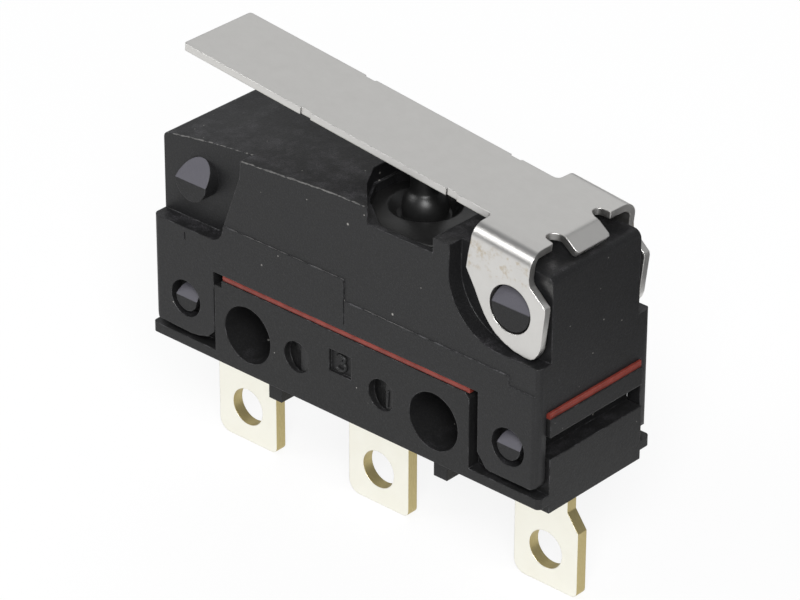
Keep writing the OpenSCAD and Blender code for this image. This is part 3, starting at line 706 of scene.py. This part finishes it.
HALF_OUTLINE = (
    [(-17.74, 0.0)] + corner(-17.62, 1.70, 0.12, 180, 90, 5)
    + [(-11.68, 1.82), (-11.64, 1.74), (-11.18, 1.74), (-11.14, 1.82)]
    + [(-4.40, 1.82), (-4.36, 1.74), (-3.90, 1.74), (-3.86, 1.82)]
    + corner(-2.38, 2.06, 0.24, 270, 360, 6)
    + [(-2.12, 2.6), on_ear(-2.12, 1.9), on_ear(-2.18, 1.3), on_ear(-2.2, 0.73),
       on_ear(-1.71, 0.07), on_ear(-1.42, -0.38), on_ear(-1.14, -0.77), on_ear(-0.83, -1.08),
       on_ear(-0.52, -1.30), on_ear(-0.1, -1.48), on_ear(0.4, -1.6), on_ear(0.95, -1.62),
       on_ear(1.2, -1.58), on_ear(1.36, -1.46), on_ear(1.5, -1.2), on_ear(1.56, -0.95),
       on_ear(1.58, 0.66), on_ear(1.54, 0.78), on_ear(0.80, 1.30), on_ear(0.71, 1.42),
       on_ear(0.67, 1.6), on_ear(0.67, 2.0), (0.67, 3.1), (0.64, 2.75), (0.585, 2.4),
       (0.565, 2.1), (0.565, 1.72)]
    + corner(0.50, 1.66, 0.06, 30, -80, 4)
    + [(0.36, 1.575)] + corner(0.30, 1.29, 0.28, 100, 235, 9)
    + [(0.24, 0.99), (0.36, 0.93), (0.5, 0.92)]
    + corner(1.30 - 0.15, 0.92 - 0.15, 0.15, 90, 0, 5) + [(1.30, 0.0)])


def inside(points, loops):
    """Even-odd rule: a point is inside where a ray along u crosses the loops an odd number
    of times."""
    hits = np.zeros(len(points), int)
    for loop in loops:
        a, b = loop, np.roll(loop, -1, axis=0)
        over = (a[None, :, 1] > points[:, None, 1]) != (b[None, :, 1] > points[:, None, 1])
        rise = np.where(a[:, 1] == b[:, 1], 1e-12, b[:, 1] - a[:, 1])
        at = a[:, 0] + (points[:, None, 1] - a[:, 1]) * (b[:, 0] - a[:, 0]) / rise
        hits += (over & (at > points[:, None, 0])).sum(axis=1)
    return hits % 2 == 1


def fold(flat):
    """Folds strip points (u, v) into the lever's own axes and gives the outer normals."""
    u, v = flat[:, 0], flat[:, 1]
    side, away = np.sign(v), np.abs(v)
    turn = np.clip((away - FLAT_HALF) / BEND, 0, math.pi / 2)
    down = np.maximum(away - EAR_START, 0)
    x = u.copy()
    y = side * (np.minimum(away, FLAT_HALF) + BEND * np.sin(turn))
    z = RISE - BEND * (1 - np.cos(turn)) - down
    normal = np.stack([np.zeros_like(u), side * np.sin(turn), np.cos(turn)], axis=1)
    tab = (away < 1.2) & (u > TAB_START)
    bent = np.clip((u - TAB_START) / BEND, 0, TAB_ANGLE)
    past = np.maximum(u - TAB_START - BEND * TAB_ANGLE, 0)
    x = np.where(tab, TAB_START + BEND * np.sin(bent) + past * math.cos(TAB_ANGLE), x)
    z = np.where(tab, RISE - BEND * (1 - np.cos(bent)) - past * math.sin(TAB_ANGLE), z)
    normal[tab] = np.stack([np.sin(bent), np.zeros_like(u), np.cos(bent)], axis=1)[tab]
    return np.stack([x, y, z], axis=1), normal


def to_switch(points, turn_only=False):
    """Turns the lever's own axes to its slope at rest and moves them to the hinge."""
    x, y, z = points.T
    turned = np.stack([x * math.cos(SLOPE) + z * math.sin(SLOPE), y,
                       z * math.cos(SLOPE) - x * math.sin(SLOPE)], axis=1)
    return turned if turn_only else turned + np.array([HINGE_X, 0, HINGE_Z])


half = np.array(HALF_OUTLINE)
mirrored = (half * np.array([1, -1]))[::-1][1:-1]
outline = np.vstack([half, mirrored])
loops = [outline, circle(0, EYE_V, EYE_R, 48), circle(0, -EYE_V, EYE_R, 48)]
strip, lines = [], []
for loop in loops:
    first = len(strip)
    strip += loop.tolist()
    lines += [(first + i, first + (i + 1) % len(loop)) for i in range(len(loop))]
for level in np.linspace(FLAT_HALF, EAR_START, 10):
    for side in (-1, 1):
        strip += [(-4.0, side * level), (2.0, side * level)]
        lines.append((len(strip) - 2, len(strip) - 1))
for level in TAB_START + np.linspace(0, BEND * TAB_ANGLE, 7):
    strip += [(level, -1.19), (level, 1.19)]
    lines.append((len(strip) - 2, len(strip) - 1))
cut = delaunay_2d_cdt([Vector(p) for p in strip], lines, [], 0, 1e-6)
flat = np.array([tuple(p) for p in cut[0]])
triangles = np.array([f for f in cut[2]])
triangles = triangles[inside(flat[triangles].mean(axis=1), loops)]
used, triangles = np.unique(triangles, return_inverse=True)
flat, triangles = flat[used], triangles.reshape(-1, 3)
outer, normal = fold(flat)
inner = outer - SHEET * normal
ends = np.sort(triangles[:, [0, 1, 1, 2, 2, 0]].reshape(-1, 2), axis=1)
pairs, tally = np.unique(ends, axis=0, return_counts=True)
rim = pairs[tally == 1]
count = len(outer)
walls = np.stack([rim[:, 0], rim[:, 1], rim[:, 1] + count, rim[:, 0] + count], axis=1)
lever_mesh = bpy.data.meshes.new("lever_sheet")
lever_mesh.from_pydata((to_switch(np.vstack([outer, inner])) * MM).tolist(), [],
                       triangles.tolist() + (triangles[:, ::-1] + count).tolist() + walls.tolist())
lever_sheet = bpy.data.objects.new("lever_sheet", lever_mesh)
bpy.context.scene.collection.objects.link(lever_sheet)
weld(lever_sheet, 30)
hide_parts("lever")
dress(finish(lever_sheet, "lever"), steel_paint)
print("lever:", len(flat), "points on the strip,", round(volume(lever_sheet.data), 2), "mm3")

# %% [markdown]
# ## Rubber boot
#
# The boot is a dome on a flat flange, with a fold between them, and a stem that goes
# up to the lever. Its rings are circles at the dome and become the flange's rounded
# outline further out: each ring's radius is a mix of the circle's and the outline's.

# %% Boot
PLUNGER_X = 1.46
BOOT_TOP = 8.9
DOME_R, DOME_Z = 0.9, 6.62


def rounded_outline(left, right, half, radius, turn):
    """Distance from the plunger's axis to a rectangle with rounded corners, at each angle."""
    centres = [(right - radius, half - radius, 0), (-left + radius, half - radius, 90),
               (-left + radius, -half + radius, 180), (right - radius, -half + radius, 270)]
    edge = np.array([p for cx, cy, a in centres for p in corner(cx, cy, radius, a, a + 90, 14)])
    angle = np.arctan2(edge[:, 1], edge[:, 0])
    order = np.argsort(angle)
    return np.interp(turn, angle[order], np.hypot(*edge.T)[order], period=2 * math.pi)


turn = np.linspace(-math.pi, math.pi, 97)
stem = [(0.0, BOOT_TOP), (0.2, BOOT_TOP - 0.02), (0.38, BOOT_TOP - 0.1), (0.5, BOOT_TOP - 0.24),
        (0.57, BOOT_TOP - 0.45), (0.58, BOOT_TOP - 0.7), (0.58, 7.5), (0.60, 7.34)]
lean = np.radians(np.linspace(46, -20, 14))
dome = list(zip(DOME_R * np.cos(lean), DOME_Z + DOME_R * np.sin(lean)))
fold_line = [(0.89, 6.24), (0.95, 6.2), (1.02, 6.24), (1.2, 6.44), (1.36, 6.6), (1.42, 6.65),
             (1.48, 6.66)]
profile = np.array(stem + dome + fold_line)
rings = profile[:, :1, None] * np.ones_like(turn)[None, None, :]
flange = rounded_outline(1.62, 2.85, 2.42, 1.15, turn)
outer_rings = [(flange * 0.5 + 0.75, 6.67), (flange - 0.09, 6.67), (flange - 0.03, 6.655),
               (flange, 6.62), (flange, 6.5), (flange * 0.0, 6.1)]
radii = np.vstack([rings[:, 0], *[r[None] for r, _ in outer_rings]])
levels = np.concatenate([profile[:, 1], [z for _, z in outer_rings]])
boot_points = np.stack([PLUNGER_X + radii * np.cos(turn), radii * np.sin(turn),
                        levels[:, None] * np.ones_like(turn)], axis=-1) * MM
boot = weld(grid_object("rubber_boot", boot_points, len(turn), len(levels)), 60)
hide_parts("plunger_boot")
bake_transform(boot)
dress(boot, boot_paint)
print("boot:", len(levels), "rings")

# %% [markdown]
# ## Seal bead
#
# The squeezed seal bulges out of its joint in a soft bead. A tube along each side
# gives it a round front that catches the light, which a bevel on the flat seal
# would not, and it thins out towards the ends of the panel.

# %% Seal bead
SEAL_Z = 2.0
BEAD_Y, BEAD_X = 3.105, 9.815


def bead_path(x, y):
    """A path at the seal's height through points x and y, of which one may be a number."""
    return np.stack(np.broadcast_arrays(x, y, SEAL_Z), axis=1)


bead_x = np.linspace(-6.06, 6.44, 60)
bead_fade = np.clip(np.minimum(bead_x + 6.3, 6.6 - bead_x) / 0.3, 0.4, 1)
bead_y = np.linspace(-2.58, 2.58, 30)
beads = [tube("bead", bead_path(bead_x, side * BEAD_Y), 0.085 * bead_fade, 0.15 * bead_fade)
         for side in (-1, 1)]
beads += [tube("bead", bead_path(side * BEAD_X, bead_y), 0.045, 0.09) for side in (-1, 1)]
seal_bead = join("seal_bead", beads)
dress(finish(seal_bead, "housing"), seal_paint)
print("seal bead:", len(seal_bead.data.polygons), "faces")

# %% [markdown]
# ## Flash
#
# Where the mould's halves met, a thread of flash is left on the plastic: a hair-thin
# ragged line that catches the light. Its pale grey colour is a painted highlight along
# the edge. A bump could fake it, but only a real thread stands clear of the edge, so
# each is a thin tube whose thickness and place wander.

# %% Flash threads
flash_and_highlight_paint = Paint("plastic_flash_and_highlight", IOR=1.45)
flash_place = flash_and_highlight_paint.place()
flash_cloud = flash_and_highlight_paint.noise(flash_place, 3.0, 3.0)
flash_and_highlight_paint.feed(
    # The threads' colour runs from dark to pale grey; the pale grey is a painted highlight along
    # the edges.
    Base_Color=flash_and_highlight_paint.mix(flash_cloud, rgb(0.03, 0.03, 0.03), rgb(0.16, 0.157, 0.15)),
    Roughness=flash_cloud * 0.2 + 0.4,
    Normal=flash_and_highlight_paint.bump(flash_and_highlight_paint.noise(flash_place, 12.0), 0.01 * MM))
dice = np.random.default_rng(11)


def case_roof(x):
    """Height of the case's top along the body."""
    return np.interp(x, [-9.5, -7.22, -4.875, -0.2, 1.46], [6.8, 7.161, 7.408, 7.73, 7.75])


def thread(x0, x1, y, z, size, wander, step=0.07):
    """A ragged thread along X: its thickness and place wander from step to step."""
    x = np.arange(x0, x1, step)
    ragged = np.convolve(dice.uniform(0, 1, len(x) + 4), np.ones(5) / 5, "valid")
    thick = size * (0.35 + 1.5 * dice.uniform(0, 1, len(x)) * ragged)
    drift = wander * (ragged - 0.5)
    height = z(x) if callable(z) else np.full_like(x, z)
    path = np.stack([x, np.full_like(x, y) + np.abs(drift) * 0.3, height + drift], 1)
    return tube("thread", path, thick, thick, sides=6)


threads = [
    thread(-9.55, -4.98, -2.46, lambda x: case_roof(x) - 0.01, 0.028, 0.06),
    thread(-4.95, 1.35, -3.15, lambda x: case_roof(x) - 0.01, 0.036, 0.07),
    thread(-5.6, 0.23, -3.17, 4.295, 0.014, 0.012),
    thread(1.3, 8.3, -3.17, lambda x: 3.42 - 0.02 * (x - 1.3), 0.013, 0.012),
]
flash = join("mould_flash", threads)
dress(finish(flash, "housing"), flash_and_highlight_paint)
print("flash:", len(threads), "threads")

# %% [markdown]
# ## Cavity digit
#
# A mould with several cavities numbers each one, and the number comes out on every
# part. It is a plain raised digit in the square mark, made of two bows swept as one
# tube. The same tube makes the short bar in the right round mark.

# %% Cavity digit and bar
bow = np.radians(np.linspace(150, -80, 16))
bow_low = np.radians(np.linspace(80, -150, 16))
three = np.concatenate([
    np.stack([0.03 + 0.21 * np.cos(bow), 0.79 + 0.14 * np.sin(bow)], 1),
    np.stack([0.03 + 0.24 * np.cos(bow_low), 0.47 + 0.18 * np.sin(bow_low)], 1)])
digit = tube("digit", np.insert(three, 1, -3.08, axis=1), 0.075, 0.10, (0, 1, 0.001), 8)
bar_z = np.linspace(-0.34, 0.36, 12)
bar_path = np.stack([2.42 + 0.05 * bar_z, np.full_like(bar_z, -3.13), bar_z], 1)
bar = tube("bar", bar_path, 0.05, 0.05, (0, 1, 0.001), 8)
cavity_digit = join("cavity_digit", [digit, bar])
dress(finish(cavity_digit, "housing"), base_paint)
print("small forms:", [o.name for o in (seal_bead, flash, cavity_digit)])

# %% [markdown]
# ## Finishes for the CAD nodes
#
# Every node of the frame gets the finish of its real material, the hidden ones too,
# because each is a part of its own for whoever opens the case.

# %% Dress the CAD nodes
FINISHES = {
    "case": case_paint, "base": base_paint, "seal_gasket": seal_paint,
    "plunger": nylon_paint, "plunger_boot": boot_paint, "lever": steel_paint,
    "com_terminal": plate_paint, "no_terminal": plate_paint, "nc_terminal": plate_paint,
    "no_contact": silver_paint, "nc_contact": silver_paint, "moving_contact": silver_paint,
    "drive_arm": copper_paint, "moving_blade": copper_paint, "snap_spring": wire_paint,
}

for node_name, paint in FINISHES.items():
    dress(nodes[node_name], paint)
print("dressed", len(FINISHES), "nodes")

# %% [markdown]
# ## The studio
#
# The switch stands on a white table that glows a little, so that it stays white
# however the lamps are set. Black plastic shows mostly what it mirrors. The end face
# mirrors the table on the right, so a grey card lies there, beyond the camera's view
# and hidden from it, to keep that face darker than the front.

# %% Table
FLOOR_Z = cad_box[0][2] - 0.02 * MM
FLOOR_HALF = 0.6

span = np.linspace(-FLOOR_HALF, FLOOR_HALF, 5)
plane_x, plane_y = np.meshgrid(span, span)
plane = np.stack([plane_x, plane_y, np.full_like(plane_x, FLOOR_Z)], axis=-1)
floor = grid_object("floor", plane, 5, 5)
floor_paint = Paint("white_table", Roughness=0.7)
floor_cloud = floor_paint.noise(floor_paint.place(), 0.02)
floor_paint.shader.inputs["Emission Strength"].default_value = 0.86
floor_grey = floor_paint.mix(floor_cloud, rgb(0.10, 0.10, 0.10), rgb(0.11, 0.11, 0.11))
floor_paint.feed(Base_Color=floor_grey,
                 Emission_Color=floor_paint.mix(floor_cloud, rgb(1, 1, 1), rgb(0.98, 0.98, 0.98)))
dress(floor, floor_paint)

CARD_NEAR, CARD_FAR = 0.021, 0.14
CARD_LIFT = 0.0002
right = np.array([math.cos(CAMERA_AZIMUTH), math.sin(CAMERA_AZIMUTH), 0])
away = np.array([-math.sin(CAMERA_AZIMUTH), math.cos(CAMERA_AZIMUTH), 0])
reach, aside = np.meshgrid([CARD_NEAR, CARD_FAR], [-0.03, 0.014])
card = grid_object("grey_card", reach[..., None] * right + aside[..., None] * away
                   + np.array([0, 0, FLOOR_Z + CARD_LIFT]), 2, 2)
card_paint = Paint("grey_card", Roughness=0.8)
card_cloud = card_paint.noise(card_paint.place(), 0.05)
card_grey = card_paint.mix(card_cloud, rgb(0.10, 0.10, 0.10), rgb(0.12, 0.12, 0.12))
card_paint.feed(Base_Color=card_grey)
dress(card, card_paint)
card.visible_camera = False
print("floor at", round(FLOOR_Z / MM, 2), "mm")

# %% [markdown]
# ## Lamps
#
# The main lamp stands near the camera, so the boot's dome shows one soft highlight.
# A weaker one in front on the left lights the ramps of the studs. Two wide, dim ones
# behind are what the lever and its tab mirror. A pale sky fills the shadows. Each
# lamp is set by the brightness of its face, because that is what a gloss shows.

# %% Lamps


def soft_box(name, azimuth, elevation, distance, width, height, brightness):
    """A rectangular lamp that faces the middle of the switch. Its power follows from the
    brightness wanted of its face: pi times area times brightness."""
    lamp = bpy.data.lights.new(name, "AREA")
    lamp.shape = "RECTANGLE"
    lamp.size, lamp.size_y = width, height
    lamp.energy = math.pi * width * height * brightness
    box = bpy.data.objects.new(name, lamp)
    azimuth, elevation = math.radians(azimuth), math.radians(elevation)
    toward = Vector((math.sin(azimuth) * math.cos(elevation),
                     -math.cos(azimuth) * math.cos(elevation), math.sin(elevation)))
    box.location = toward * distance
    box.rotation_euler = toward.to_track_quat("Z", "Y").to_euler()
    bpy.context.scene.collection.objects.link(box)
    return box


soft_box("stud_box", -49, 38, 0.50, 0.24, 0.24, 4.5)
soft_box("camera_box", 42, 38, 0.50, 0.22, 0.24, 19.0)
soft_box("back_box", 217, 36, 0.60, 0.50, 0.40, 0.68)
soft_box("tab_box", 154, 44, 0.60, 0.30, 0.30, 0.42)

world = bpy.data.worlds.new("sky")
world.use_nodes = True
world.node_tree.nodes["Background"].inputs["Color"].default_value = rgb(0.95, 0.97, 1.0)
world.node_tree.nodes["Background"].inputs["Strength"].default_value = 0.22
bpy.context.scene.world = world
bpy.context.scene.view_settings.view_transform = "Standard"
